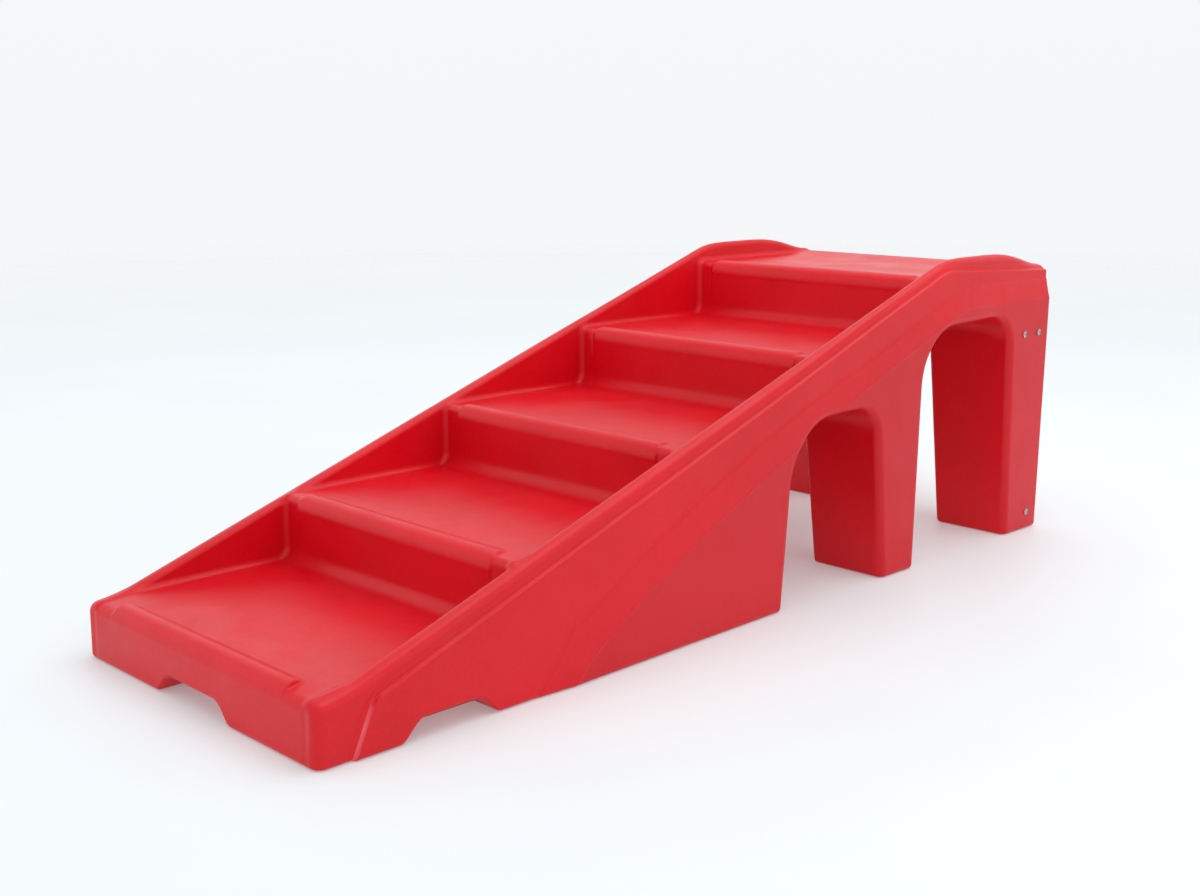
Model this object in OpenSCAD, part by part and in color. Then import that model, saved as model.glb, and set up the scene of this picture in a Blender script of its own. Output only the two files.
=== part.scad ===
// Stepped dog ramp: one hollow moulded shell with its screws, threaded inserts and vent plug.
// Millimetres. Z is up, +Y runs from the low front edge to the high rear edge, +X is the right side.
// The origin is on the floor, halfway along and halfway across the ramp.

/* [Overall size] */
// Width across the foot of the shell
ramp_width = 600; // [590:1:640]
// Height of the first tread above the floor
first_tread_height = 88; // [86:1:92]
// Rise from one tread to the next
step_rise = 103; // [101:0.5:106]
// Distance from one riser to the next
step_run = 325; // [322:1:330]
// Length of the deck behind the last riser
deck_length = 365; // [360:1:380]

/* [Moulding] */
// Thickness of the plastic wall
wall = 5; // [4:0.5:6]
// Height of the raised nosing above its tread
nosing_height = 4.5; // [3:0.5:6]
// Radius of the nosing
nosing_radius = 18; // [14:1:20]
// Radius of the fillet at the foot of each riser
riser_fillet = 24; // [16:1:26]
// Width of each side rail
rail_width = 31; // [30:1:36]
// Height of the hump in each rail above the deck
hump_height = 35; // [32:1:40]
// Size of the thin step under each rail
band_step = 3; // [2:0.5:3.5]

/* [Hardware] */
// Diameter of a screw head
screw_head_diameter = 12; // [11:0.5:14]
// Diameter of a screw shank
screw_diameter = 6; // [5:0.5:6.5]
// Diameter of a threaded insert
insert_diameter = 10; // [9.5:0.5:11]

/* [Hidden] */
$fn = 64;
too_far = 900;
half_width = ramp_width / 2;

// Steps: riser 1 is the first one behind the front edge, level 4 is the deck
front_run = step_run + 5;
function riser_y(i) = front_run + (i - 1) * step_run;
function level_z(i) = first_tread_height + i * step_rise;
deck_y = riser_y(4);
deck_z = level_z(4);
ramp_length = deck_y + deck_length;

// Side rail seen from the side
rail_slope = 0.345;
knee_y = deck_y + 10;
hump_y = deck_y + 145;
rear_top_back = 8;
rail_end_y = ramp_length - rear_top_back;
rail_end_rise = 8;
hump_z = deck_z + hump_height;
knee_power = 4.8;
knee_drop = rail_slope * (hump_y - knee_y) / knee_power;
knee_z = hump_z - knee_drop;
sink_power = 1.6;
rail_start_y = 62;
rail_start_z = knee_z - rail_slope * (knee_y - rail_start_y);
knee_steps = 5;
sink_steps = 7;
function knee_part(t) = [
    knee_y + t * (hump_y - knee_y),
    hump_z - knee_drop * pow(1 - t, knee_power)
];
function sink_part(t) = [
    hump_y + t * (rail_end_y - hump_y),
    deck_z + rail_end_rise + (hump_height - rail_end_rise) * (1 + cos(180 * pow(t, sink_power))) / 2
];
rail_curve = concat(
    [for (k = [0 : knee_steps]) knee_part(k / knee_steps)],
    [for (k = [1 : sink_steps]) sink_part(k / sink_steps)]
);
rail_top = concat([[rail_start_y, rail_start_z]], rail_curve);
rail_crown = rail_width / 2;
crown_layers = 4;

// Front edge, rear face and parting line
front_corner = 13;
front_lip = 42;
corner_steps = 5;
plan_corner = 16;
parting_rear_z = deck_z - 56;
rear_flare = 34;
rear_foot_back = 10;
front_top = [for (k = [0 : corner_steps]) [
    front_corner * (1 - cos(90 * k / corner_steps)),
    first_tread_height - 3 - front_corner * (1 - sin(90 * k / corner_steps))
]];
shoulder_start_y = rail_start_y + (first_tread_height - rail_start_z + rail_crown) / rail_slope;
shoulder_top = concat(
    [[front_lip, first_tread_height], [shoulder_start_y, first_tread_height]],
    [for (p = rail_curve) [p[0], p[1] - rail_crown]]
);
rear_face = [
    [ramp_length - rear_top_back, parting_rear_z + rear_flare],
    [ramp_length, parting_rear_z],
    [ramp_length - rear_foot_back, 0]
];
side_outline = concat([[0, 0]], front_top, shoulder_top, rear_face);

// Thin step under the rail: it rises from the floor and then runs below the crown
band_drop = 20;
band_line = concat(
    [[55, -1], [66, 32], [84, 64], [104, 82]],
    [for (p = rail_curve) [p[0], p[1] - band_drop]]
);
panel_outline = concat(band_line, [[too_far * 2, parting_rear_z], [too_far * 2, -1]]);

// Parting line: a power curve from the floor up to the rear edge
parting_start_y = riser_y(1) + 90;
parting_power = 0.759;
parting_full_y = 1400;
parting_scale = parting_rear_z / pow(parting_full_y - parting_start_y, parting_power);
parting_steps = 14;
function parting_part(t) = [
    parting_start_y + t * (parting_full_y - parting_start_y),
    parting_scale * pow(t * (parting_full_y - parting_start_y), parting_power)
];
parting_outline = concat(
    [[parting_start_y - 4, -1]],
    [for (k = [0 : parting_steps]) parting_part(pow(k / parting_steps, 1.5))],
    [[too_far * 2, parting_rear_z], [too_far * 2, -1]]
);

// Arches through both sides, given as the corners of each opening
arch_1_front = 888;
arch_1_rear = 1148;
arch_2_front = 1248;
arch_2_rear = 1548;
arch_1_top = level_z(2) + 9;
arch_2_top = level_z(3) + 25;
below_floor = 60;
function sunk(y, lean, top) = [y - lean * below_floor / top, -below_floor];
arch_1_corners = [
    sunk(arch_1_front, 12, arch_1_top), [arch_1_front + 12, arch_1_top],
    [arch_1_rear - 29, arch_1_top], sunk(arch_1_rear, -29, arch_1_top)
];
arch_2_corners = [
    sunk(arch_2_front, 10, arch_2_top), [arch_2_front + 10, arch_2_top - 6],
    [arch_2_rear - 17, arch_2_top], sunk(arch_2_rear, -17, arch_2_top)
];
arch_1_radii = [0, 100, 50, 0];
arch_2_radii = [0, 82, 58, 0];
inner_vault_drop = 8;
inner_vault_radius = 20;

// Space between the left and right legs
leg_width = 145;
leg_gap = half_width - leg_width;
middle_gap_top = 286;
middle_gap_corner = 36;
middle_gap_lean = 14;
rear_gap_top = 400;
rear_gap_corner = 56;
rear_gap_lean = 36;

// Hand notches, given by their width at the floor and at the top
notch_height = 29;
front_notch_foot = 90;
front_notch_top = 64;
front_notch_depth = 60;
side_notch_y = 206;
side_notch_foot = 79;
side_notch_top = 50;
side_notch_depth = 55;

// Channel between the rails
channel_half = half_width - 2 * band_step - rail_width;
channel_cove = 14;
channel_draft = 4;

// Front of each tread
tread_edge = 6;
tread_front_length = 80;
tread_front_depth = 35;

// Low lip along the rear edge of the deck
rear_lip_rise = 5;
rear_lip_run = 90;
rear_lip_depth = 25;

// Nosing bars
nosing_reach = channel_half - 34;
nosing_forward = 4;

// Screws in the outer face of each rear leg: distance from the rear edge and height
screw_spots = [
    [89, deck_z - 117.5],
    [38, deck_z - 117.5],
    [46.5, 34.5]
];
head_height = 3.6;
head_dome = 11;
recess_width = 1.7;
recess_reach = 4.2;
recess_depth = 2;
screw_length = 18;
insert_length = 20;
insert_flange = 13;
insert_flange_thickness = 2;
boss_wall = 4;
insert_flange_in = wall + 3;

// Vent plug in the underside of the deck, between the rear legs
vent_y = ramp_length - 62;
vent_stem = 16;
vent_flange = 26;
vent_flange_thickness = 3;
vent_lip = 18;
vent_lip_thickness = 2;

// Outline helpers: all outlines run clockwise as seen from the right side
function unit(v) = v / norm(v);
function line_normal(a, b) = [-(b - a)[1], (b - a)[0]] / norm(b - a);
function cross2(a, b) = a[0] * b[1] - a[1] * b[0];
function meet(p, u, q, v) = p + u * cross2(q - p, v) / cross2(u, v);
function near_parallel(u, v) = abs(cross2(u, v)) < 0.0005;
function moved_corner(a, b, c, d) =
    let (n1 = line_normal(a, b), n2 = line_normal(b, c))
    near_parallel(unit(b - a), unit(c - b))
        ? b + n1 * d
        : meet(b + n1 * d, unit(b - a), b + n2 * d, unit(c - b));
function moved(points, d) =
    let (n = len(points))
    [for (i = [0 : n - 1]) moved_corner(points[(i + n - 1) % n], points[i], points[(i + 1) % n], d)];

function tangent_length(a, b, c, r) =
    let (turn = acos(unit(a - b) * unit(c - b)))
    r / tan(turn / 2);
function arc_centre(a, b, c, r) =
    let (u = unit(a - b), v = unit(c - b), middle = unit(u + v), turn = acos(u * v))
    b + middle * r / sin(turn / 2);

// Convex outline with true round corners
module rounded_outline(points, radii) {
    n = len(points);
    tangent_points = [for (i = [0 : n - 1])
        let (a = points[(i + n - 1) % n], b = points[i], c = points[(i + 1) % n])
        let (t = radii[i] > 0 ? tangent_length(a, b, c, radii[i]) : 0)
        for (p = radii[i] > 0 ? [b + unit(a - b) * t, b + unit(c - b) * t] : [b]) p];
    polygon(tangent_points);
    for (i = [0 : n - 1]) {
        if (radii[i] > 0) {
            translate(arc_centre(points[(i + n - 1) % n], points[i], points[(i + 1) % n], radii[i]))
                circle(r = radii[i]);
        }
    }
}

// Puts a shape measured from the front edge into the common frame
module from_front() {
    translate([0, -ramp_length / 2, 0]) children();
}

// Turns a flat (y, z) outline into a slab between two values of x
module side_slab(x1, x2) {
    translate([x1, 0, 0])
        rotate([90, 0, 90])
            linear_extrude(height = x2 - x1) children();
}

// Turns a flat (x, z) outline into a slab between two values of y
module cross_slab(y1, y2) {
    translate([0, y2, 0])
        rotate([90, 0, 0])
            linear_extrude(height = y2 - y1) children();
}

module each_side() {
    children();
    mirror([1, 0, 0]) children();
}

// Outline of one layer of the rail's crown, lifted above the shoulder
function crown_outline(lift) = concat(
    [for (p = rail_top) [p[0], p[1] - rail_crown + lift]],
    [for (i = [len(rail_top) - 1 : -1 : 0]) [rail_top[i][0], rail_top[i][1] - rail_crown - 5]]
);

// Crown along the top of the right rail, in thin layers that follow a round edge
module rail_crown_layers() {
    centre_x = channel_half + rail_width / 2;
    for (k = [1 : crown_layers]) {
        angle = 90 * (k - 0.4) / crown_layers;
        reach = rail_crown * cos(angle);
        side_slab(centre_x - reach, centre_x + reach)
            polygon(crown_outline(rail_crown * sin(90 * k / crown_layers)));
    }
}

// Outline of the body from above
module plan_outline(inset) {
    corner = plan_corner - inset;
    x = half_width - inset - corner;
    y1 = inset + corner;
    y2 = ramp_length - inset - corner;
    translate([-x, inset]) square([2 * x, ramp_length - 2 * inset]);
    translate([-x - corner, y1]) square([2 * x + 2 * corner, y2 - y1]);
    for (cx = [-x, x]) {
        for (cy = [y1, y2]) translate([cx, cy]) circle(r = corner);
    }
}

// Full body before the channel, the arches and the notches are taken out
module outer_body() {
    intersection() {
        translate([0, 0, -1]) linear_extrude(height = too_far) plan_outline(0);
        union() {
            side_slab(-half_width + 2 * band_step, half_width - 2 * band_step)
                polygon(side_outline);
            intersection() {
                side_slab(-half_width + band_step, half_width - band_step) polygon(side_outline);
                side_slab(-half_width, half_width) polygon(panel_outline);
            }
            intersection() {
                side_slab(-half_width, half_width) polygon(side_outline);
                side_slab(-too_far, too_far) polygon(parting_outline);
            }
            each_side() rail_crown_layers();
        }
    }
}

// Cross section of the channel above one tread: a cove at the tread and a slight draft above it
module channel_section(level, grow) {
    low = channel_half - channel_cove + grow;
    high = channel_half + grow;
    far = channel_half + channel_draft * 0.25 + grow;
    polygon([
        [-low, level - grow], [low, level - grow], [high, level - grow + channel_cove],
        [far, too_far], [-far, too_far], [-high, level - grow + channel_cove]
    ]);
}

// Everything above the treads and between the rails
module channel(grow) {
    cross_slab(-10, riser_y(1) + grow) channel_section(level_z(0), grow);
    for (i = [1 : 3]) cross_slab(riser_y(i) - 1, riser_y(i + 1) + grow) channel_section(level_z(i), grow);
    cross_slab(riser_y(4) - 1, ramp_length + 20) channel_section(level_z(4), grow);
}

// Concave fillet at the foot of a riser
module riser_foot(i, grow) {
    y = riser_y(i) + grow;
    z = level_z(i - 1) - grow;
    r = riser_fillet + grow;
    side_slab(-channel_half - 2, channel_half + 2)
        difference() {
            translate([y - r, z - 0.5]) square([r + 0.5, r + 0.5]);
            translate([y - r, z + r]) circle(r = r);
        }
}

// Front of a tread, which stands above the shoulder of the rails beside it
module tread_front(i, inset) {
    y = riser_y(i) + inset;
    z = level_z(i) - inset;
    reach = channel_half - inset;
    side_slab(-reach, reach)
        polygon([
            [y, z - tread_front_depth], [y, z - tread_edge], [y + tread_edge, z],
            [y + tread_front_length, z], [y + tread_front_length, z - tread_front_depth]
        ]);
}

// Low lip at the rear edge of the deck
module rear_lip() {
    end = ramp_length - rear_top_back;
    side_slab(-channel_half, channel_half)
        polygon([
            [end - rear_lip_run, deck_z - rear_lip_depth], [end - rear_lip_run, deck_z],
            [end - rear_lip_rise * 2, deck_z + rear_lip_rise], [end - rear_lip_rise, deck_z + rear_lip_rise],
            [end, deck_z], [end, parting_rear_z + rear_flare], [end - 20, deck_z - rear_lip_depth]
        ]);
}

// Raised round nosing at the front of a tread
module nosing(i) {
    y = i == 0 ? nosing_radius + 1 : riser_y(i) + nosing_radius - nosing_forward;
    z = level_z(i) + nosing_height - nosing_radius;
    translate([-nosing_reach, y, z]) rotate([0, 90, 0]) cylinder(r = nosing_radius, h = 2 * nosing_reach);
}

module arch_spaces(grow) {
    side_slab(-too_far, too_far) {
        intersection() {
            rounded_outline(moved(arch_1_corners, grow), [for (r = arch_1_radii) r > 0 ? r + grow : 0]);
            translate([0, -50]) square([too_far * 2, too_far]);
        }
        rounded_outline(moved(arch_2_corners, grow), [for (r = arch_2_radii) r > 0 ? r + grow : 0]);
    }
}

// Filling that keeps the inner vault clear of the treads above it
module vault_filling(grow) {
    reach = channel_half - 4 - grow;
    side_slab(-reach, reach) {
        difference() {
            translate([arch_1_front - 30, 100]) square([200, 250]);
            rounded_outline(
                moved(inner_corners(arch_1_corners), grow),
                [0, arch_1_radii[1] + inner_vault_radius + grow, arch_1_radii[2] + grow, 0]
            );
        }
        difference() {
            translate([arch_2_front - 30, 200]) square([180, 300]);
            rounded_outline(
                moved(inner_corners(arch_2_corners), grow),
                [0, arch_2_radii[1] + inner_vault_radius + grow, arch_2_radii[2] + grow, 0]
            );
        }
    }
}

function inner_corners(c) = [c[0], c[1] - [0, inner_vault_drop], c[2] - [0, inner_vault_drop], c[3]];

module opened_arches(grow) {
    difference() {
        arch_spaces(grow);
        vault_filling(grow);
    }
}

module leg_space(top, lean, corner, grow) {
    low = leg_gap + lean * below_floor / top + grow;
    high = leg_gap - lean + grow;
    rounded_outline(
        [[-low, -below_floor], [-high, top + grow], [high, top + grow], [low, -below_floor]],
        [0, corner + grow, corner + grow, 0]
    );
}

module leg_spaces(grow) {
    cross_slab(arch_1_rear - 80, arch_2_front + 60)
        leg_space(middle_gap_top, middle_gap_lean, middle_gap_corner, grow);
    cross_slab(arch_2_rear - 80, ramp_length + 20)
        leg_space(rear_gap_top, rear_gap_lean, rear_gap_corner, grow);
}

module notch_outline(foot, top, grow) {
    polygon([
        [-foot - grow, -10], [-top - grow, notch_height + grow],
        [top + grow, notch_height + grow], [foot + grow, -10]
    ]);
}

module hand_notches(grow) {
    cross_slab(-10, front_notch_depth + grow) notch_outline(front_notch_foot, front_notch_top, grow);
    each_side()
        side_slab(half_width - side_notch_depth - grow, half_width + 10)
            translate([side_notch_y, 0]) notch_outline(side_notch_foot, side_notch_top, grow);
}

// Hollow space inside the moulding
module cavity() {
    difference() {
        intersection() {
            translate([0, 0, -1]) linear_extrude(height = too_far) plan_outline(wall);
            union() {
                side_slab(-half_width + 2 * band_step + wall, half_width - 2 * band_step - wall)
                    polygon(moved(side_outline, -wall));
                intersection() {
                    side_slab(-half_width + wall, half_width - wall)
                        polygon(moved(side_outline, -wall));
                    side_slab(-too_far, too_far)
                        translate([0, -wall]) polygon(parting_outline);
                }
                for (i = [1 : 3]) tread_front(i, wall);
            }
        }
        translate([-too_far, -1, -1]) cube([2 * too_far, ramp_length + 2, 1 + wall]);
        channel(wall);
        for (i = [1 : 4]) difference() {
            riser_foot(i, 0);
            channel(0);
        }
        opened_arches(wall);
        leg_spaces(wall);
        hand_notches(wall);
        each_side() {
            for (spot = screw_spots) insert_boss(spot);
        }
    }
}

// Places a shape whose axis points along -Z onto the outer face of the right rear leg
module at_spot(spot) {
    translate([half_width, ramp_length - spot[0], spot[1]]) rotate([0, -90, 0]) children();
}

module insert_boss(spot) {
    at_spot(spot) translate([0, 0, -1])
        cylinder(d = insert_diameter + 2 * boss_wall, h = insert_length + boss_wall + 1);
}

module insert_shape() {
    cylinder(d = insert_diameter, h = insert_length);
    translate([0, 0, insert_flange_in]) cylinder(d = insert_flange, h = insert_flange_thickness);
}

module ramp_shell() {
    color("firebrick")
        from_front()
            difference() {
                union() {
                    difference() {
                        outer_body();
                        channel(0);
                    }
                    for (i = [1 : 3]) tread_front(i, 0);
                    for (i = [1 : 4]) riser_foot(i, 0);
                    for (i = [0 : 4]) nosing(i);
                    rear_lip();
                }
                opened_arches(0);
                leg_spaces(0);
                hand_notches(0);
                cavity();
                each_side() {
                    for (spot = screw_spots) at_spot(spot) insert_shape();
                }
                translate([0, vent_y, rear_gap_top]) vent_shape();
            }
}

// Pan-head screw: its head rests on the outer face, its shank runs inwards
module screw(spot) {
    color("silver")
        from_front()
            at_spot(spot) {
                cylinder(d = screw_diameter, h = screw_length);
                difference() {
                    intersection() {
                        translate([0, 0, -head_height]) cylinder(d = screw_head_diameter, h = head_height);
                        translate([0, 0, head_dome - head_height]) sphere(r = head_dome);
                    }
                    for (turn = [0, 90]) {
                        rotate([0, 0, turn])
                            translate([-recess_reach, -recess_width / 2, -head_height - 1])
                                cube([2 * recess_reach, recess_width, recess_depth + 1]);
                    }
                }
            }
}

module threaded_insert(spot) {
    color("goldenrod")
        from_front()
            at_spot(spot)
                difference() {
                    insert_shape();
                    translate([0, 0, -1]) cylinder(d = screw_diameter, h = screw_length + 1);
                }
}

module vent_shape() {
    cylinder(d = vent_stem, h = wall);
    translate([0, 0, wall]) cylinder(d = vent_lip, h = vent_lip_thickness);
}

module vent_plug() {
    color("dimgray")
        from_front()
            translate([0, vent_y, rear_gap_top]) {
                vent_shape();
                translate([0, 0, -vent_flange_thickness]) cylinder(d = vent_flange, h = vent_flange_thickness);
            }
}

ramp_shell();
screw(screw_spots[0]);  // screw_right_upper_front
screw(screw_spots[1]);  // screw_right_upper_rear
screw(screw_spots[2]);  // screw_right_foot
mirror([1, 0, 0]) screw(screw_spots[0]);  // screw_left_upper_front
mirror([1, 0, 0]) screw(screw_spots[1]);  // screw_left_upper_rear
mirror([1, 0, 0]) screw(screw_spots[2]);  // screw_left_foot
threaded_insert(screw_spots[0]);  // insert_right_upper_front
threaded_insert(screw_spots[1]);  // insert_right_upper_rear
threaded_insert(screw_spots[2]);  // insert_right_foot
mirror([1, 0, 0]) threaded_insert(screw_spots[0]);  // insert_left_upper_front
mirror([1, 0, 0]) threaded_insert(screw_spots[1]);  // insert_left_upper_rear
mirror([1, 0, 0]) threaded_insert(screw_spots[2]);  // insert_left_foot
vent_plug();
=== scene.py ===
"""Dog ramp: a moulded shell with its screws, inserts and vent plug, on a pale studio floor.

The shell is described as a signed distance in millimetres, measured from the middle of the
front edge at floor level, and turned into a mesh that replaces the CAD shell for looks.
"""

from math import atan2, cos, hypot, pi, radians, sin

import bmesh
import bpy
import numpy as np
from mathutils import Matrix, Vector


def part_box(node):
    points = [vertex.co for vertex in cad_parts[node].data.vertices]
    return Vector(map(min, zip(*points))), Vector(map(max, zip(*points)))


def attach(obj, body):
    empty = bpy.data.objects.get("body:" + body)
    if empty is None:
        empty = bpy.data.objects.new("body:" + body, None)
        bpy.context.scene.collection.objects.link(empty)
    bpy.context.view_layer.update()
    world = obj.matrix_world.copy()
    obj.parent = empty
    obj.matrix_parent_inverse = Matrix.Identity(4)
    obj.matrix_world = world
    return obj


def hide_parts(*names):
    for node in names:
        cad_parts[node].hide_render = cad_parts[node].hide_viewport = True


MM = 0.001

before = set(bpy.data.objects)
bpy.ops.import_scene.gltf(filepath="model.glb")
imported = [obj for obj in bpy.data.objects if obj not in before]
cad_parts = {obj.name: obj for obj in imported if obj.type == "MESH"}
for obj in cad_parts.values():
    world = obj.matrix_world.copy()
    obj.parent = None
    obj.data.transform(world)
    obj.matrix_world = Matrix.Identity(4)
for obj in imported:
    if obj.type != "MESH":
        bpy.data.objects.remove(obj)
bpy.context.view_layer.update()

# ---------------------------------------------------------------------------
# Sizes of the shell, in millimetres from the front edge
# ---------------------------------------------------------------------------
shell_low, shell_high = (np.array(corner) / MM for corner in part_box("ramp_shell"))
HALF_WIDTH = (shell_high[0] - shell_low[0]) / 2
LENGTH = shell_high[1] - shell_low[1]
FRONT_Y = shell_low[1]
HUMP_HEIGHT = 35
HUMP_Z = shell_high[2]
DECK_Z = HUMP_Z - HUMP_HEIGHT

# Treads and risers
STEP_RISE = 103
STEP_RUN = 325
FIRST_RISER = 330
STEP_COUNT = 4
LEVELS = [DECK_Z - STEP_RISE * (STEP_COUNT - i) for i in range(STEP_COUNT + 1)]
RISERS = [FIRST_RISER + STEP_RUN * i for i in range(STEP_COUNT)]
FRONT_TOP_DROP = 4
FRONT_TOP_RUN = 60
TREAD_EDGE = 10
RISER_FILLET = 22
CHANNEL_HALF = 265
CHANNEL_UNDER_RAIL = 8
REAR_LIP_RISE = 5
REAR_LIP_START = 110
REAR_LIP_RUN = 95
COVE = 10

# Nosing bars
NOSING_RADIUS = 22
NOSING_HEIGHT = 4.5
NOSING_FORWARD = 4
FRONT_NOSING_BACK = 1
NOSING_APRON = 55
NOSING_APRON_FOOT = 3
NOSING_REACH = 228
FRONT_NOSING_REACH = 216
NOSING_END_LEAN = 0.15
NOSING_END_LEAN_RUN = 40
NOSING_END_EDGE = 3
NOSING_FILLET = 4

# Side rails
RAIL_SLOPE = 0.345
RAIL_LEAN = cos(atan2(RAIL_SLOPE, 1))
RAIL_FOOT_BLEND = 9
KNEE_Y = RISERS[-1] + 10
HUMP_Y = RISERS[-1] + 145
REAR_TOP_BACK = 8
RAIL_END_Y = LENGTH - REAR_TOP_BACK
RAIL_END_RISE = 8
KNEE_POWER = 4.8
SINK_POWER = 1.6
KNEE_DROP = RAIL_SLOPE * (HUMP_Y - KNEE_Y) / KNEE_POWER
KNEE_Z = HUMP_Z - KNEE_DROP
RAIL_INNER_EDGE = 8
RAIL_INNER_OUT = 1.5
RAIL_INNER_DRAFT = 0.012
RAIL_CROWN = 13.5

# Outer faces, which change shape towards the rear
REAR_START_Y = 850
REAR_CHANGE = 300
SIDE_OUT = 303.4
FRONT_CORNER = 15
REAR_CORNER = 6
FRONT_LEAN = 0.016
PARTING_REAR_Z = DECK_Z - 56
REAR_FOOT_BACK = 7
REAR_TOP_RUN = 40
REAR_TOP_POWER = 1.3

# Thin step under the rail; near the front it turns down from its head to its foot (y, z)
BAND_START_Z = 41.5
BAND_SLOPE = 0.3575
BAND_DECK_Z = DECK_Z + 12
BAND_DECK_FALL = 0.05
BAND_DECK_Y = 1400
BAND_KNEE_BLEND = 8
BAND_STEP = 5.4
BAND_WIDTH = 4
BAND_CORNER = 9
GROOVE_ABOVE = 10
GROOVE_DEPTH = 0.6
GROOVE_WIDTH = 2
BAND_FOOT = (54, 0)
BAND_HEAD = (86, 72)

# Parting line, its fine flash and the flare above it
PARTING_START_Y = 420
PARTING_START_RUN = 4.0
PARTING_POWER = 0.759
PARTING_SCALE = 2.44
PARTING_REAR_FALL = 0.01
PARTING_REAR_Y = 1400
PARTING_REAR_RISE = 4
PARTING_BLEND = 16
FLASH_HEIGHT = 0.6
FLASH_WIDTH = 1.3
FLASH_LENGTHS = (23, 61)
FLASH_UNEVENNESS = 0.35
FLARE = 4.2
FLARE_BLEND = 0.8
FLARE_REACH = 50
FLARE_REAR_REACH = 36
FLARE_STEP = 1.2
FLARE_STEP_WIDTH = 6
DRAFT = 0.04

# Arches: foot line front and rear, leans, heights and corner radii of the mouths
ARCHES = (
    {"feet": (888, 1148), "leans": (12, 29), "tops": (303, 304), "radii": (100, 50)},
    {"feet": (1248, 1548), "leans": (10, 17), "tops": (416, 422), "radii": (95, 58)},
)
ARCH_EDGE = 14
VAULT_DROP = 11
VAULT_FRONT_MORE = 8
VAULT_REAR_RADIUS = 30
VAULT_HALF = 240
VAULT_CHANGE = 50

# Spaces between the left and the right legs
MIDDLE_GAP = {"gap": 153.5, "top": 286, "corner": 40, "lean": 12}
MIDDLE_GAP_Y = (1078, 1302)
REAR_GAP = {"gap": 149, "top": 400, "corner": 60, "lean": 28}
REAR_GAP_START_Y = 1490
GAP_EDGE = 7

# Hand notches
NOTCH_HEIGHT = 29
NOTCH_CORNER = 8
NOTCH_EDGE = 5
FRONT_NOTCH = {"foot": 90, "head": 64}
FRONT_NOTCH_DEPTH = 60
SIDE_NOTCH = {"foot": 79, "head": 50}
SIDE_NOTCH_Y = 206
SIDE_NOTCH_DEPTH = 55
FOOT_EDGE = 7

# Mesh
CELL = 4.0
FACES_WANTED = 198_000
LEAST_SLOPE_SQUARED = 0.05
CREASE_REACH = 5
OUTER_FACE_DEPTH = 16
BAR_END_MIDDLE = NOSING_REACH - 4
BAR_END_HALF = 18
BAR_END_NEAR = 4
CREASE_CUTS = 2
WEAR_AND_HIGHLIGHT_DEPTH = 5.0
# Reach of the painted shade on the outer faces below the parting line
LOWER_CHANGE = 6
LOWER_FACE_DEPTH = 8


# ---------------------------------------------------------------------------
# Distance helpers: negative inside, positive outside
# ---------------------------------------------------------------------------
def both(a, b, r):
    """Where both hold, with a convex edge of radius r."""
    return np.minimum(-r, np.maximum(a, b)) + np.hypot(np.maximum(a + r, 0), np.maximum(b + r, 0))


def either(a, b, r):
    """Where either holds, with a concave fillet of radius r."""
    return np.maximum(r, np.minimum(a, b)) - np.hypot(np.maximum(r - a, 0), np.maximum(r - b, 0))


def ease(t):
    """Rises smoothly from 0 to 1 as t goes from 0 to 1."""
    t = np.clip(t, 0, 1)
    return t * t * (3 - 2 * t)


def lower_of(a, b, k):
    """The smaller of two heights, with a soft change over k."""
    h = np.maximum(k - np.abs(a - b), 0) / k
    return np.minimum(a, b) - h * h * k / 4


def beyond_line(y, z, start, end):
    """Distance to the left of the line from start to end, seen from the right side."""
    along = np.array(end, float) - np.array(start, float)
    along /= np.hypot(*along)
    return (z - start[1]) * along[0] - (y - start[0]) * along[1]


# ---------------------------------------------------------------------------
# The shell's outlines
# ---------------------------------------------------------------------------
def rail_top(y):
    """Height of the top of the rails."""
    knee = 1 - np.clip((y - KNEE_Y) / (HUMP_Y - KNEE_Y), 0, 1)
    sink = np.clip((y - HUMP_Y) / (RAIL_END_Y - HUMP_Y), 0, 1)
    slope = KNEE_Z + RAIL_SLOPE * (y - KNEE_Y)
    fall = (HUMP_HEIGHT - RAIL_END_RISE) * (1 - np.cos(pi * sink**SINK_POWER)) / 2
    rail = np.where(y < KNEE_Y, slope, HUMP_Z - KNEE_DROP * knee**KNEE_POWER - fall)
    return -lower_of(-rail, -front_top(y), RAIL_FOOT_BLEND)


def front_top(y):
    """Height of the first tread, which dips a little at the front edge."""
    return LEVELS[0] - FRONT_TOP_DROP * (1 - ease(y / FRONT_TOP_RUN))


def band_distance(y, z):
    """Distance above, or in front of, the step under the rail."""
    sloping = BAND_START_Z + BAND_SLOPE * y
    level = BAND_DECK_Z - BAND_DECK_FALL * (y - BAND_DECK_Y)
    above = (z - lower_of(sloping, level, BAND_KNEE_BLEND)) * RAIL_LEAN
    ahead = beyond_line(y, z, BAND_FOOT, BAND_HEAD)
    return both(above, ahead, BAND_CORNER)


def parting_height(y):
    """Height of the parting line."""
    run = y - PARTING_START_Y
    start_slope = PARTING_SCALE * PARTING_POWER * PARTING_START_RUN ** (PARTING_POWER - 1)
    curve = PARTING_SCALE * np.maximum(run, PARTING_START_RUN) ** PARTING_POWER
    tail = start_slope * np.minimum(run - PARTING_START_RUN, 0)
    rear = PARTING_REAR_Z + PARTING_REAR_RISE - PARTING_REAR_FALL * (y - PARTING_REAR_Y)
    return lower_of(curve + tail, rear, PARTING_BLEND)


def parting_distance(y, z):
    """Distance above the parting line."""
    step = 0.5
    slope = (parting_height(y + step) - parting_height(y - step)) / (2 * step)
    return (z - parting_height(y)) / np.sqrt(1 + slope * slope)


def toward_rear(y):
    """Rises from 0 at the front to 1 at the rear legs."""
    return ease((y - REAR_START_Y) / REAR_CHANGE)


def flare_reach(y):
    """Height of the flare above the parting line."""
    return FLARE_REACH - (FLARE_REACH - FLARE_REAR_REACH) * toward_rear(y)


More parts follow.
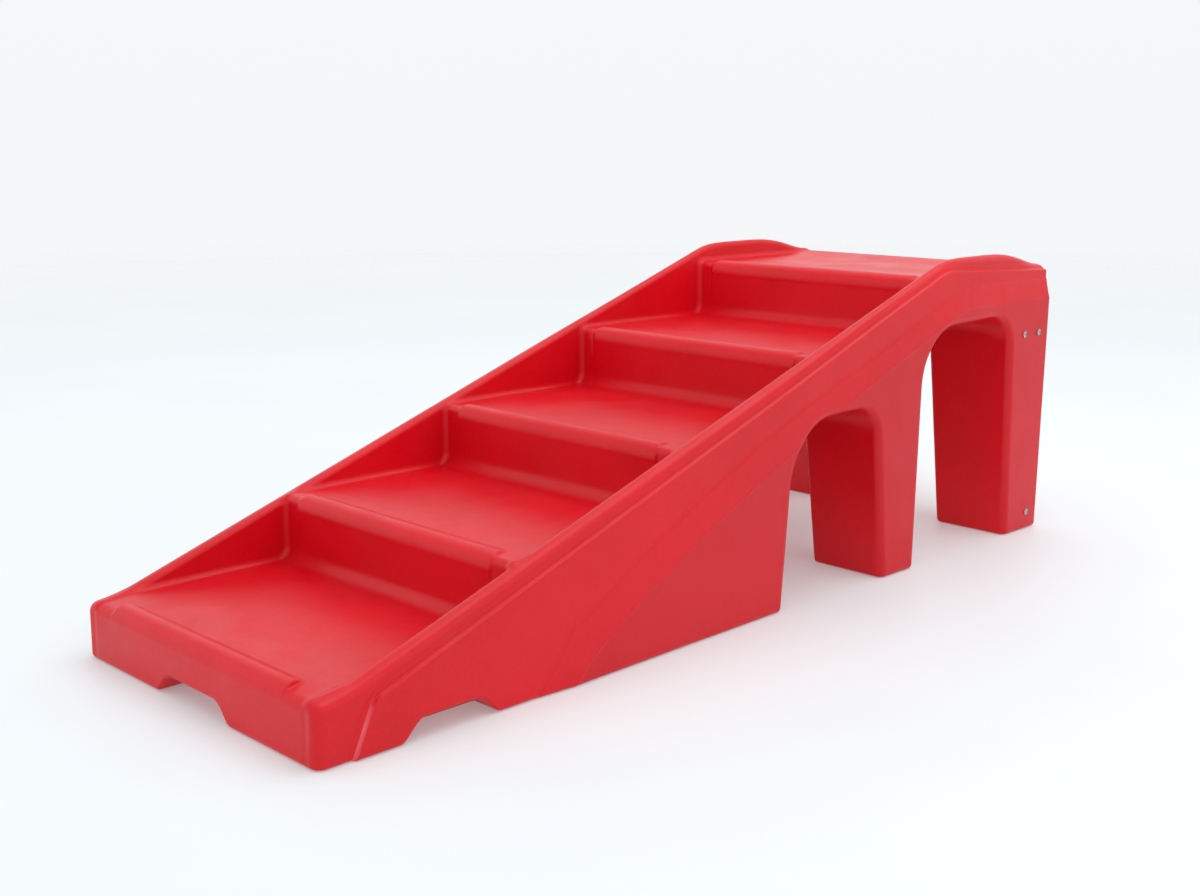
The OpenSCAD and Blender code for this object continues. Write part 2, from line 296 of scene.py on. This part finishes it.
def half_width(y, z):
    """Distance of the outer face from the middle plane."""
    above = parting_distance(y, z)
    rear = toward_rear(y)
    out = SIDE_OUT - (SIDE_OUT - HALF_WIDTH) * rear
    reach = flare_reach(y)
    turned_in = lower_of(FLARE * np.maximum(above, 0) / reach, FLARE, FLARE_BLEND)
    turned_in = turned_in + FLARE_STEP * ease((above - reach) / FLARE_STEP_WIDTH + 0.5)
    draft = DRAFT * (1 - rear) * np.maximum(-above, 0)
    waves = np.sin(y / FLASH_LENGTHS[0]) * np.sin(y / FLASH_LENGTHS[1] + 1)
    height = FLASH_HEIGHT * (1 - FLASH_UNEVENNESS + FLASH_UNEVENNESS * waves)
    flash = height * np.exp(-((above / FLASH_WIDTH) ** 2))
    band = band_distance(y, z)
    step_in = BAND_STEP * ease(band / BAND_WIDTH + 0.5)
    step_in = step_in + GROOVE_DEPTH * np.exp(-(((band - GROOVE_ABOVE) / GROOVE_WIDTH) ** 2))
    return out - turned_in - draft + flash - step_in


def rear_face(z):
    """Distance of the rear face from the front edge."""
    over = np.clip((z - PARTING_REAR_Z) / REAR_TOP_RUN, 0, 1)
    foot = LENGTH - REAR_FOOT_BACK + REAR_FOOT_BACK * z / PARTING_REAR_Z
    return np.minimum(foot, LENGTH) - REAR_TOP_BACK * (1 - (1 - over) ** REAR_TOP_POWER)


def arch(y, z, feet, leans, tops, radii):
    """An arch opening, seen from the side, with its front and rear corner radii."""
    front_top_y, rear_top_y = feet[0] + leans[0], feet[1] - leans[1]
    left = beyond_line(y, z, (feet[0], 0), (front_top_y, tops[0]))
    crown = beyond_line(y, z, (front_top_y, tops[0]), (rear_top_y, tops[1]))
    right = beyond_line(y, z, (rear_top_y, tops[1]), (feet[1], 0))
    return both(both(left, crown, radii[0]), right, radii[1])


def arch_opening(x, y, z, feet, leans, tops, radii):
    """An arch through both sides; its inner vault sits a little lower than its mouths."""
    mouth = arch(y, z, feet, leans, tops, radii)
    vault_tops = [top - VAULT_DROP for top in tops]
    vault_radii = (radii[0] + VAULT_FRONT_MORE, VAULT_REAR_RADIUS)
    vault = arch(y, z, feet, leans, vault_tops, vault_radii)
    return vault + (mouth - vault) * ease((np.abs(x) - VAULT_HALF) / VAULT_CHANGE)


def leg_space(x, z, gap, top, corner, lean):
    """The space between two legs, seen from the front."""
    reach = gap - lean * z / top
    return both(np.abs(x) - reach, z - top, corner)


def notch(across, z, foot, head):
    """A hand notch with leaning ends: its half length at the floor and at its head."""
    ends = np.abs(across) - foot + (foot - head) * z / NOTCH_HEIGHT
    return both(ends, z - NOTCH_HEIGHT, NOTCH_CORNER)


def stairs(y, z):
    """Treads and risers, seen from the side."""
    solid = z - front_top(y)
    for level, riser in zip(LEVELS[1:], RISERS):
        lip = REAR_LIP_RISE * ease((y - LENGTH + REAR_LIP_START) / REAR_LIP_RUN)
        solid = either(solid, both(z - level - lip, riser - y, TREAD_EDGE), RISER_FILLET)
    return solid


def nosing_bars(x, y, z):
    """The rounded bars along the front of each tread, with the apron that joins each riser."""
    bars = []
    for riser, level in zip([NOSING_FORWARD + FRONT_NOSING_BACK] + RISERS, LEVELS):
        middle_y = riser - NOSING_FORWARD + NOSING_RADIUS
        middle_z = level + NOSING_HEIGHT - NOSING_RADIUS
        fall = np.clip((middle_z - z) / NOSING_APRON, 0, 1)
        apron = riser - NOSING_FORWARD + (NOSING_FORWARD + NOSING_APRON_FOOT) * fall - y
        bar = np.hypot(y - middle_y, z - middle_z) - NOSING_RADIUS
        bar = np.minimum(bar, np.maximum(apron, z - middle_z))
        reach = FRONT_NOSING_REACH if level == LEVELS[0] else NOSING_REACH
        lean_run = np.clip(y - middle_y, -NOSING_END_LEAN_RUN, NOSING_END_LEAN_RUN)
        ends = np.abs(x) - reach + NOSING_END_LEAN * lean_run
        bars.append(both(bar, ends, NOSING_END_EDGE))
    return np.minimum.reduce(bars)


def upper_surface(x, y, z):
    """Solid under the treads, the nosing bars and the rails."""
    sides = np.abs(x) - (CHANNEL_HALF + CHANNEL_UNDER_RAIL)
    steps = both(stairs(y, z), sides, CHANNEL_UNDER_RAIL)
    steps = either(steps, nosing_bars(x, y, z), NOSING_FILLET)
    above = z - rail_top(y)
    inner = CHANNEL_HALF + RAIL_INNER_DRAFT * above + RAIL_INNER_OUT - np.abs(x)
    rail = both(above * RAIL_LEAN, inner, RAIL_INNER_EDGE)
    return either(steps, rail, COVE)


def shell(x, y, z):
    """Signed distance to the outside of the moulding."""
    walls = both(np.abs(x) - half_width(y, z), FRONT_LEAN * z - y, FRONT_CORNER)
    walls = both(walls, y - rear_face(z), REAR_CORNER)
    top = both(walls, upper_surface(x, y, z), RAIL_CROWN)

    body = walls
    for sizes in ARCHES:
        body = both(body, -arch_opening(x, y, z, **sizes), ARCH_EDGE)
    between = np.maximum(MIDDLE_GAP_Y[0] - y, y - MIDDLE_GAP_Y[1])
    middle = np.maximum(leg_space(x, z, **MIDDLE_GAP), between)
    rear = np.maximum(leg_space(x, z, **REAR_GAP), REAR_GAP_START_Y - y)
    front_notch = np.maximum(notch(x, z, **FRONT_NOTCH), y - FRONT_NOTCH_DEPTH)
    side_notch = np.maximum(
        notch(y - SIDE_NOTCH_Y, z, **SIDE_NOTCH), HALF_WIDTH - SIDE_NOTCH_DEPTH - np.abs(x)
    )
    for space, edge in (
        (middle, GAP_EDGE),
        (rear, GAP_EDGE),
        (front_notch, NOTCH_EDGE),
        (side_notch, NOTCH_EDGE),
    ):
        body = both(body, -space, edge)
    return np.maximum(both(body, -z, FOOT_EDGE), top)


# ---------------------------------------------------------------------------
# From signed distance to mesh
# ---------------------------------------------------------------------------
def gradient(points, step=0.6):
    """Slope of the shell's distance at each point."""
    out = np.empty_like(points)
    for axis in range(3):
        offset = np.zeros(3)
        offset[axis] = step
        out[:, axis] = shell(*(points + offset).T) - shell(*(points - offset).T)
    return out / (2 * step)


def onto_surface(points, rounds, longest):
    """Moves each point to the nearest place on the shell's surface."""
    for _ in range(rounds):
        slope = gradient(points)
        size = np.maximum((slope * slope).sum(axis=1, keepdims=True), LEAST_SLOPE_SQUARED)
        move = -shell(*points.T)[:, None] * slope / size
        length = np.linalg.norm(move, axis=1, keepdims=True)
        points = points + move * np.minimum(1, longest / np.maximum(length, 1e-9))
    return points


def sample_grid(cell):
    """The shell's distance at the nodes of a grid that is symmetrical about the middle plane."""
    xs = (np.arange(int(SIDE_OUT / cell) + 3) + 0.5) * cell
    ys = np.arange(-2 * cell, LENGTH + 3 * cell, cell)
    zs = np.arange(-2 * cell, HUMP_Z + 3 * cell, cell)
    slab = 24  # rows sampled at a time, to save memory
    parts = [
        shell(
            xs[:, None, None].astype(np.float32),
            ys[None, start : start + slab, None].astype(np.float32),
            zs[None, None, :].astype(np.float32),
        ).astype(np.float32)
        for start in range(0, len(ys), slab)
    ]
    half = np.concatenate(parts, axis=1)
    return np.concatenate([half[::-1], half], axis=0), np.concatenate([-xs[::-1], xs]), ys, zs


def surface_net(cell):
    """Vertices and quads of the shell's surface, one vertex in each grid cell that it crosses."""
    values, xs, ys, zs = sample_grid(cell)
    inside = values < 0
    corners = np.zeros(tuple(n - 1 for n in values.shape), np.int8)
    for i in (0, 1):
        for j in (0, 1):
            for k in (0, 1):
                corners += inside[
                    i : inside.shape[0] - 1 + i,
                    j : inside.shape[1] - 1 + j,
                    k : inside.shape[2] - 1 + k,
                ]
    crossed = (corners > 0) & (corners < 8)
    number = np.full(crossed.shape, -1, np.int32)
    number[crossed] = np.arange(int(crossed.sum()))
    at = np.argwhere(crossed)
    points = np.stack(
        [xs[at[:, 0]] + cell / 2, ys[at[:, 1]] + cell / 2, zs[at[:, 2]] + cell / 2], axis=1
    )
    quads = []
    for axis in range(3):
        a, b = [other for other in range(3) if other != axis]
        first = inside[tuple(slice(0, -1) if d == axis else slice(1, -1) for d in range(3))]
        second = inside[tuple(slice(1, None) if d == axis else slice(1, -1) for d in range(3))]
        edge = np.argwhere(first != second)
        leaving = first[tuple(edge.T)]
        cells = []
        for da, db in ((0, 0), (1, 0), (1, 1), (0, 1)):
            index = edge.copy()
            index[:, a] += da
            index[:, b] += db
            cells.append(number[tuple(index.T)])
        quad = np.stack(cells, axis=1)
        flip = leaving if axis == 1 else ~leaving
        quad[flip] = quad[flip][:, ::-1]
        quads.append(quad)
    return points, np.concatenate(quads)


def mesh_from(name, points, faces):
    """A mesh in metres in the shared frame from points in millimetres from the front edge."""
    mesh = bpy.data.meshes.new(name)
    mesh.vertices.add(len(points))
    corners = faces.shape[1]
    mesh.loops.add(faces.size)
    mesh.loops.foreach_set("vertex_index", faces.astype(np.int32).ravel())
    mesh.polygons.add(len(faces))
    mesh.polygons.foreach_set("loop_start", np.arange(0, faces.size, corners, dtype=np.int32))
    place_points(mesh, points)
    mesh.update(calc_edges=True)
    mesh.validate()
    return mesh


def near_creases(points):
    """True for points close to the rail step, the parting line or the end of a nosing bar."""
    x, y, z = points.T
    above = parting_distance(y, z)
    band = band_distance(y, z)
    creases = (band > -CREASE_REACH) & (band < GROOVE_ABOVE + CREASE_REACH)
    creases |= np.abs(above) < CREASE_REACH
    creases |= np.abs(above - flare_reach(y)) < CREASE_REACH
    creases &= np.abs(x) > HALF_WIDTH - OUTER_FACE_DEPTH
    bar_ends = np.abs(np.abs(x) - BAR_END_MIDDLE) < BAR_END_HALF
    bar_ends &= np.abs(nosing_bars(x, y, z)) < BAR_END_NEAR
    return creases | bar_ends


def refined(mesh, cuts):
    """Splits the edges near the creases, so that the thin lines stay crisp."""
    chosen = near_creases(mesh_points(mesh))
    build = bmesh.new()
    build.from_mesh(mesh)
    edges = [e for e in build.edges if chosen[e.verts[0].index] and chosen[e.verts[1].index]]
    bmesh.ops.subdivide_edges(build, edges=edges, cuts=cuts, use_grid_fill=True)
    bmesh.ops.triangulate(build, faces=build.faces)
    build.to_mesh(mesh)
    build.free()


def thinned(obj, faces_wanted):
    """Collapses the edges that the shape needs least."""
    now = sum(len(p.vertices) - 2 for p in obj.data.polygons)
    if now <= faces_wanted:
        return
    modifier = obj.modifiers.new("thin", "DECIMATE")
    modifier.ratio = faces_wanted / now
    graph = bpy.context.evaluated_depsgraph_get()
    mesh = bpy.data.meshes.new_from_object(obj.evaluated_get(graph))
    obj.modifiers.remove(modifier)
    old = obj.data
    obj.data = mesh
    bpy.data.meshes.remove(old)


def mesh_points(mesh):
    """The mesh's vertices in millimetres from the front edge."""
    flat = np.empty(len(mesh.vertices) * 3, np.float32)
    mesh.vertices.foreach_get("co", flat)
    return flat.reshape(-1, 3).astype(float) / MM - np.array([0, FRONT_Y, 0])


def place_points(mesh, points):
    """Moves the mesh's vertices to points in millimetres from the front edge."""
    placed = (points + np.array([0, FRONT_Y, 0])) * MM
    mesh.vertices.foreach_set("co", placed.astype(np.float32).ravel())
    mesh.update()


def build_shell():
    """The moulded shell as one closed surface with exact normals."""
    cell = CELL
    points, quads = surface_net(cell)
    points = onto_surface(points, rounds=4, longest=cell / 2)
    mesh = mesh_from("moulded_shell", points, quads)
    refined(mesh, CREASE_CUTS)
    place_points(mesh, onto_surface(mesh_points(mesh), rounds=2, longest=1.0))
    obj = bpy.data.objects.new("moulded_shell", mesh)
    bpy.context.scene.collection.objects.link(obj)
    thinned(obj, FACES_WANTED)
    mesh = obj.data
    points = onto_surface(mesh_points(mesh), rounds=2, longest=0.5)
    normals = gradient(points, step=0.5)
    normals /= np.linalg.norm(normals, axis=1, keepdims=True)
    place_points(mesh, points)
    mesh.polygons.foreach_set("use_smooth", np.ones(len(mesh.polygons), bool))
    mesh.normals_split_custom_set_from_vertices(normals.tolist())
    # How far each point sits on a convex edge; such edges are painted paler, partly as wear and
    # partly as painted highlight
    bulge = np.clip(shell(*(points - normals * WEAR_AND_HIGHLIGHT_DEPTH).T) / WEAR_AND_HIGHLIGHT_DEPTH + 1, 0, 1)
    x, y, z = points.T
    # Marks the outer faces below the parting line for painted shade
    lower = ease(0.5 - parting_distance(y, z) / LOWER_CHANGE)
    lower = lower * (np.abs(x) > HALF_WIDTH - LOWER_FACE_DEPTH)
    for name, values in (("bulge", bulge), ("lower", lower)):
        attribute = mesh.attributes.new(name, "FLOAT", "POINT")
        attribute.data.foreach_set("value", values.astype(np.float32))
    return obj


# ---------------------------------------------------------------------------
# Materials: colours are linear red, green and blue
# ---------------------------------------------------------------------------
RED_DEEP = (0.605, 0.0009, 0.0075)
RED_PALE = (0.705, 0.0016, 0.0108)
# Paler colour of convex edges: partly wear, partly painted highlight
RED_RUBBED_AND_HIGHLIGHT = (0.84, 0.020, 0.026)
# Painted shade on the outer faces below the parting line
RED_LOWER_SHADE = (0.48, 0.0008, 0.0100)
# Painted highlight along the step near the front corners
RED_STEP_HIGHLIGHT = (0.86, 0.13, 0.16)
LOWER_SHADE_SHARE = 0.35
STEP_HIGHLIGHT_OFFSET = 1.2
STEP_HIGHLIGHT_HALF_WIDTH = (0.8, 2.8)
STEP_HIGHLIGHT_HEAD = (58, 76)
STEEL_DARK = (0.36, 0.365, 0.38)
STEEL_LIGHT = (0.58, 0.58, 0.59)
BRASS_DARK = (0.42, 0.25, 0.09)
BRASS_LIGHT = (0.66, 0.46, 0.19)
PLUG_DARK = (0.016, 0.016, 0.018)
PLUG_LIGHT = (0.04, 0.04, 0.043)
FLOOR_DARK = (0.610, 0.650, 0.668)
FLOOR_LIGHT = (0.635, 0.675, 0.688)
FLOOR_GLOW = (0.97, 0.985, 1.0, 1)
FLOOR_GLOW_STRENGTH = 0.22


class Nodes:
    """Short calls for building a node material."""

    def __init__(self, name):
        self.material = bpy.data.materials.new(name)
        self.material.use_nodes = True
        self.tree = self.material.node_tree
        self.shader = self.tree.nodes["Principled BSDF"]

    def add(self, kind, **settings):
        """A new node with the given settings."""
        node = self.tree.nodes.new(kind)
        for key, value in settings.items():
            setattr(node, key, value)
        return node

    def link(self, source, target):
        self.tree.links.new(source, target)

    def place(self):
        """Coordinates in metres in the piece's own frame."""
        return self.add("ShaderNodeTexCoord").outputs["Object"]

    def noise(self, vector, scale, detail=3.0, roughness=0.5, stretch=(1, 1, 1)):
        """Cloudy values around 0.5."""
        mapping = self.add("ShaderNodeMapping")
        mapping.inputs["Scale"].default_value = stretch
        self.link(vector, mapping.inputs["Vector"])
        node = self.add("ShaderNodeTexNoise")
        node.inputs["Scale"].default_value = scale
        node.inputs["Detail"].default_value = detail
        node.inputs["Roughness"].default_value = roughness
        self.link(mapping.outputs[0], node.inputs["Vector"])
        return node.outputs["Fac"]

    def spread(self, value, low, high, out_low=0.0, out_high=1.0):
        """Maps values from low..high to out_low..out_high and clips them."""
        node = self.add("ShaderNodeMapRange")
        node.inputs["From Min"].default_value = low
        node.inputs["From Max"].default_value = high
        node.inputs["To Min"].default_value = out_low
        node.inputs["To Max"].default_value = out_high
        self.link(value, node.inputs["Value"])
        return node.outputs["Result"]

    def sums(self, operation, a, b):
        """A math node on two numbers or sockets."""
        node = self.add("ShaderNodeMath", operation=operation)
        for socket, value in zip(node.inputs, (a, b)):
            if isinstance(value, (int, float)):
                socket.default_value = value
            else:
                self.link(value, socket)
        return node.outputs[0]

    def blend(self, factor, first, second):
        """Mixes two colours, from the first at factor 0 to the second at factor 1."""
        node = self.add("ShaderNodeMix", data_type="RGBA")
        self.link(factor, node.inputs["Factor"])
        for socket, colour in ((node.inputs[6], first), (node.inputs[7], second)):
            if isinstance(colour, tuple):
                socket.default_value = (*colour, 1)
            else:
                self.link(colour, socket)
        return node.outputs[2]

    def bump(self, height, strength, distance, base=None):
        """Relief from height values, on top of the base relief if there is one."""
        node = self.add("ShaderNodeBump")
        node.inputs["Strength"].default_value = strength
        node.inputs["Distance"].default_value = distance
        self.link(height, node.inputs["Height"])
        if base is not None:
            self.link(base, node.inputs["Normal"])
        return node.outputs["Normal"]

    def attribute(self, name):
        """A number stored on the mesh's vertices."""
        return self.add("ShaderNodeAttribute", attribute_name=name).outputs["Fac"]


def front_step_highlight(n, place):
    """Strength of the painted highlight along the step near the front corners, from 0 to 1."""
    run, rise = BAND_HEAD[0] - BAND_FOOT[0], BAND_HEAD[1] - BAND_FOOT[1]
    length = hypot(run, rise)
    across = n.add("ShaderNodeVectorMath", operation="DOT_PRODUCT")
    across.inputs[1].default_value = (0, -rise / length, run / length)
    n.link(place, across.inputs[0])
    foot = (BAND_FOOT[0] + FRONT_Y) * MM * rise / length
    ahead = n.sums("ADD", across.outputs["Value"], foot)
    away = n.sums("ABSOLUTE", n.sums("SUBTRACT", ahead, STEP_HIGHLIGHT_OFFSET * MM), 0)
    line = n.spread(away, STEP_HIGHLIGHT_HALF_WIDTH[0] * MM, STEP_HIGHLIGHT_HALF_WIDTH[1] * MM, 1.0, 0.0)
    parts = n.add("ShaderNodeSeparateXYZ")
    n.link(place, parts.inputs[0])
    low = n.spread(parts.outputs["Z"], STEP_HIGHLIGHT_HEAD[0] * MM, STEP_HIGHLIGHT_HEAD[1] * MM, 1.0, 0.0)
    return n.sums("MULTIPLY", line, low)


def moulded_plastic():
    """Satin red polyethylene: faint cloudy colour and fine grain; convex edges paler, partly from
    wear and partly as painted highlight; painted shade on the outer faces below the parting line;
    a painted highlight along the step near the front corners.
    """
    n = Nodes("moulded_plastic")
    place = n.place()
    clouds = n.spread(n.noise(place, scale=5, detail=4, roughness=0.55), 0.35, 0.65)
    specks = n.spread(n.noise(place, scale=160, detail=2, roughness=0.6), 0.4, 0.6)
    mottling = n.sums("ADD", n.sums("MULTIPLY", clouds, 0.7), n.sums("MULTIPLY", specks, 0.3))
    colour = n.blend(mottling, RED_DEEP, RED_PALE)
    # Convex edges painted paler: partly wear, partly painted highlight
    rubbed_and_highlight = n.spread(n.attribute("bulge"), 0.10, 0.6, 0.0, 0.35)
    colour = n.blend(rubbed_and_highlight, colour, RED_RUBBED_AND_HIGHLIGHT)
    # Painted shade: the outer faces below the parting line are darkened
    lower = n.sums("MULTIPLY", n.attribute("lower"), LOWER_SHADE_SHARE)
    colour = n.blend(lower, colour, RED_LOWER_SHADE)
    streaks = n.noise(place, scale=60, detail=3, roughness=0.6, stretch=(1, 1, 0.25))
    streaks = n.spread(streaks, 0.35, 0.6, 0.45, 0.9)
    # Painted highlight along the step near the front corners, broken into streaks
    step_highlight = n.sums("MULTIPLY", front_step_highlight(n, place), streaks)
    colour = n.blend(step_highlight, colour, RED_STEP_HIGHLIGHT)
    n.link(colour, n.shader.inputs["Base Color"])
    smudges = n.noise(place, scale=14, detail=3, roughness=0.6)
    n.link(n.spread(smudges, 0.3, 0.7, 0.33, 0.45), n.shader.inputs["Roughness"])
    waves = n.noise(place, scale=9, detail=2, roughness=0.4)
    grain = n.noise(place, scale=900, detail=2, roughness=0.6)
    waves = n.bump(waves, strength=0.35, distance=1.5 * MM)
    grain = n.bump(grain, strength=0.10, distance=0.4 * MM, base=waves)
    n.link(grain, n.shader.inputs["Normal"])
    n.shader.inputs["Specular IOR Level"].default_value = 0.34
    n.shader.inputs["Subsurface Weight"].default_value = 0.06
    n.shader.inputs["Subsurface Radius"].default_value = (1.0, 0.12, 0.08)
    n.shader.inputs["Subsurface Scale"].default_value = 0.004
    return n.material


def bright_steel():
    """Plated screw steel with fine scratches."""
    n = Nodes("bright_steel")
    place = n.place()
    tone = n.spread(n.noise(place, scale=300), 0.35, 0.65)
    n.link(n.blend(tone, STEEL_DARK, STEEL_LIGHT), n.shader.inputs["Base Color"])
    polish = n.spread(n.noise(place, scale=700, detail=2), 0.3, 0.7, 0.2, 0.38)
    n.link(polish, n.shader.inputs["Roughness"])
    scratches = n.noise(place, scale=900, detail=2, roughness=0.6, stretch=(1, 6, 1))
    n.link(n.bump(scratches, strength=0.2, distance=0.2 * MM), n.shader.inputs["Normal"])
    n.shader.inputs["Metallic"].default_value = 1.0
    return n.material


def dull_brass():
    """Knurled insert brass, slightly tarnished."""
    n = Nodes("dull_brass")
    place = n.place()
    tone = n.spread(n.noise(place, scale=220), 0.3, 0.7)
    n.link(n.blend(tone, BRASS_DARK, BRASS_LIGHT), n.shader.inputs["Base Color"])
    polish = n.spread(n.noise(place, scale=500, detail=2), 0.3, 0.7, 0.28, 0.5)
    n.link(polish, n.shader.inputs["Roughness"])
    knurls = n.noise(place, scale=1500, detail=2, roughness=0.6, stretch=(1, 1, 4))
    n.link(n.bump(knurls, strength=0.4, distance=0.3 * MM), n.shader.inputs["Normal"])
    n.shader.inputs["Metallic"].default_value = 1.0
    return n.material


def plug_plastic():
    """Dark soft plastic of the vent plug."""
    n = Nodes("plug_plastic")
    place = n.place()
    tone = n.spread(n.noise(place, scale=120), 0.3, 0.7)
    n.link(n.blend(tone, PLUG_DARK, PLUG_LIGHT), n.shader.inputs["Base Color"])
    polish = n.spread(n.noise(place, scale=260, detail=2), 0.3, 0.7, 0.5, 0.68)
    n.link(polish, n.shader.inputs["Roughness"])
    grain = n.noise(place, scale=800, detail=2)
    n.link(n.bump(grain, strength=0.3, distance=0.3 * MM), n.shader.inputs["Normal"])
    return n.material


def paint(obj, material):
    """Gives an object one material."""
    obj.data.materials.clear()
    obj.data.materials.append(material)


# ---------------------------------------------------------------------------
# Studio
# ---------------------------------------------------------------------------
FLOOR_RINGS = (1.5, 3, 5, 8, 12)
FLOOR_SPOKES = 48
FLOOR_FADE = (2.5, 9.0)
FLOOR_BELOW = 0.5 * MM
# Degrees above the horizon and brightness
SKY_STOPS = ((0, 0.93), (8, 0.94), (16, 1.12), (30, 1.12), (44, 0.50), (58, 1.10), (90, 1.25))
SKY_TINT = (0.985, 1.0, 1.012)
SKY_STRENGTH = 2.0
CAMERA_PLACE = (1.7187, -1.7678, 0.7516)
CAMERA_TURN = (radians(78.091), 0, radians(45.354))
CAMERA_LENS = 44.925


def studio_floor():
    """A pale round floor that fades into the background far from the ramp."""
    build = bmesh.new()
    turns = [2 * pi * s / FLOOR_SPOKES for s in range(FLOOR_SPOKES)]
    rows = [[build.verts.new((r * cos(t), r * sin(t), 0)) for t in turns] for r in FLOOR_RINGS]
    centre = build.verts.new((0, 0, 0))
    for s in range(FLOOR_SPOKES):
        t = (s + 1) % FLOOR_SPOKES
        build.faces.new((centre, rows[0][s], rows[0][t]))
        for inner, outer in zip(rows, rows[1:]):
            build.faces.new((inner[s], outer[s], outer[t], inner[t]))
    mesh = bpy.data.meshes.new("studio_floor")
    build.to_mesh(mesh)
    build.free()
    floor = bpy.data.objects.new("studio_floor", mesh)
    floor.location.z = -FLOOR_BELOW
    bpy.context.scene.collection.objects.link(floor)
    n = Nodes("studio_floor")
    place = n.place()
    tone = n.spread(n.noise(place, scale=1.3), 0.35, 0.65)
    n.link(n.blend(tone, FLOOR_DARK, FLOOR_LIGHT), n.shader.inputs["Base Color"])
    n.shader.inputs["Emission Color"].default_value = FLOOR_GLOW
    n.shader.inputs["Emission Strength"].default_value = FLOOR_GLOW_STRENGTH
    n.shader.inputs["Roughness"].default_value = 0.55
    n.shader.inputs["Specular IOR Level"].default_value = 0.25
    reach = n.add("ShaderNodeVectorMath", operation="LENGTH")
    n.link(place, reach.inputs[0])
    clear = n.add("ShaderNodeBsdfTransparent")
    mix = n.add("ShaderNodeMixShader")
    n.link(n.spread(reach.outputs["Value"], *FLOOR_FADE), mix.inputs[0])
    n.link(n.shader.outputs[0], mix.inputs[1])
    n.link(clear.outputs[0], mix.inputs[2])
    n.link(mix.outputs[0], n.tree.nodes["Material Output"].inputs["Surface"])
    mesh.materials.append(n.material)


def studio_sky():
    """Even white surroundings, with a darker belt halfway up and brightest overhead."""
    world = bpy.data.worlds.new("studio")
    bpy.context.scene.world = world
    world.use_nodes = True
    tree = world.node_tree
    background = tree.nodes["Background"]
    place = tree.nodes.new("ShaderNodeTexCoord")
    parts = tree.nodes.new("ShaderNodeSeparateXYZ")
    ramp = tree.nodes.new("ShaderNodeValToRGB")
    spread = tree.nodes.new("ShaderNodeMapRange")
    spread.inputs["From Min"].default_value = -1
    spread.inputs["From Max"].default_value = 1
    tree.links.new(place.outputs["Generated"], parts.inputs[0])
    tree.links.new(parts.outputs["Z"], spread.inputs["Value"])
    tree.links.new(spread.outputs["Result"], ramp.inputs["Fac"])
    elements = ramp.color_ramp.elements
    while len(elements) < len(SKY_STOPS):
        elements.new(0.5)
    for element, (height, strength) in zip(elements, SKY_STOPS):
        element.position = (sin(radians(height)) + 1) / 2
        element.color = (*(strength / SKY_STRENGTH * tint for tint in SKY_TINT), 1)
    tree.links.new(ramp.outputs["Color"], background.inputs["Color"])
    background.inputs["Strength"].default_value = SKY_STRENGTH


def softbox(name, place, target, size, power):
    """A rectangular light at place, turned to target."""
    light = bpy.data.lights.new(name, "AREA")
    light.shape = "RECTANGLE"
    light.size, light.size_y = size
    light.energy = power
    obj = bpy.data.objects.new(name, light)
    aim = (Vector(target) - Vector(place)).to_track_quat("-Z", "Y")
    obj.matrix_world = Matrix.Translation(place) @ aim.to_matrix().to_4x4()
    bpy.context.scene.collection.objects.link(obj)


def studio_camera():
    """The camera at the photograph's viewing angle."""
    camera = bpy.data.cameras.new("camera")
    camera.lens = CAMERA_LENS
    camera.sensor_width = 36
    camera.clip_end = 100
    obj = bpy.data.objects.new("camera", camera)
    obj.location = CAMERA_PLACE
    obj.rotation_euler = CAMERA_TURN
    bpy.context.scene.collection.objects.link(obj)
    bpy.context.scene.camera = obj


# ---------------------------------------------------------------------------
# The scene
# ---------------------------------------------------------------------------
body = build_shell()
body.data.materials.append(moulded_plastic())
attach(body, "root")
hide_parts("ramp_shell")

steel, brass, rubber = bright_steel(), dull_brass(), plug_plastic()
for name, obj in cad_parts.items():
    if name.startswith("screw"):
        paint(obj, steel)
    elif name.startswith("insert"):
        paint(obj, brass)
    elif name == "vent_plug":
        paint(obj, rubber)

studio_camera()
studio_floor()
studio_sky()
softbox("overhead", place=(0.6, 0.8, 3.2), target=(0, 0, 0.3), size=(3.0, 3.0), power=33)
softbox("right", place=(4.2, 0.4, 2.2), target=(0, 0, 0.25), size=(2.4, 1.8), power=8)
bpy.context.scene.view_settings.view_transform = "Standard"
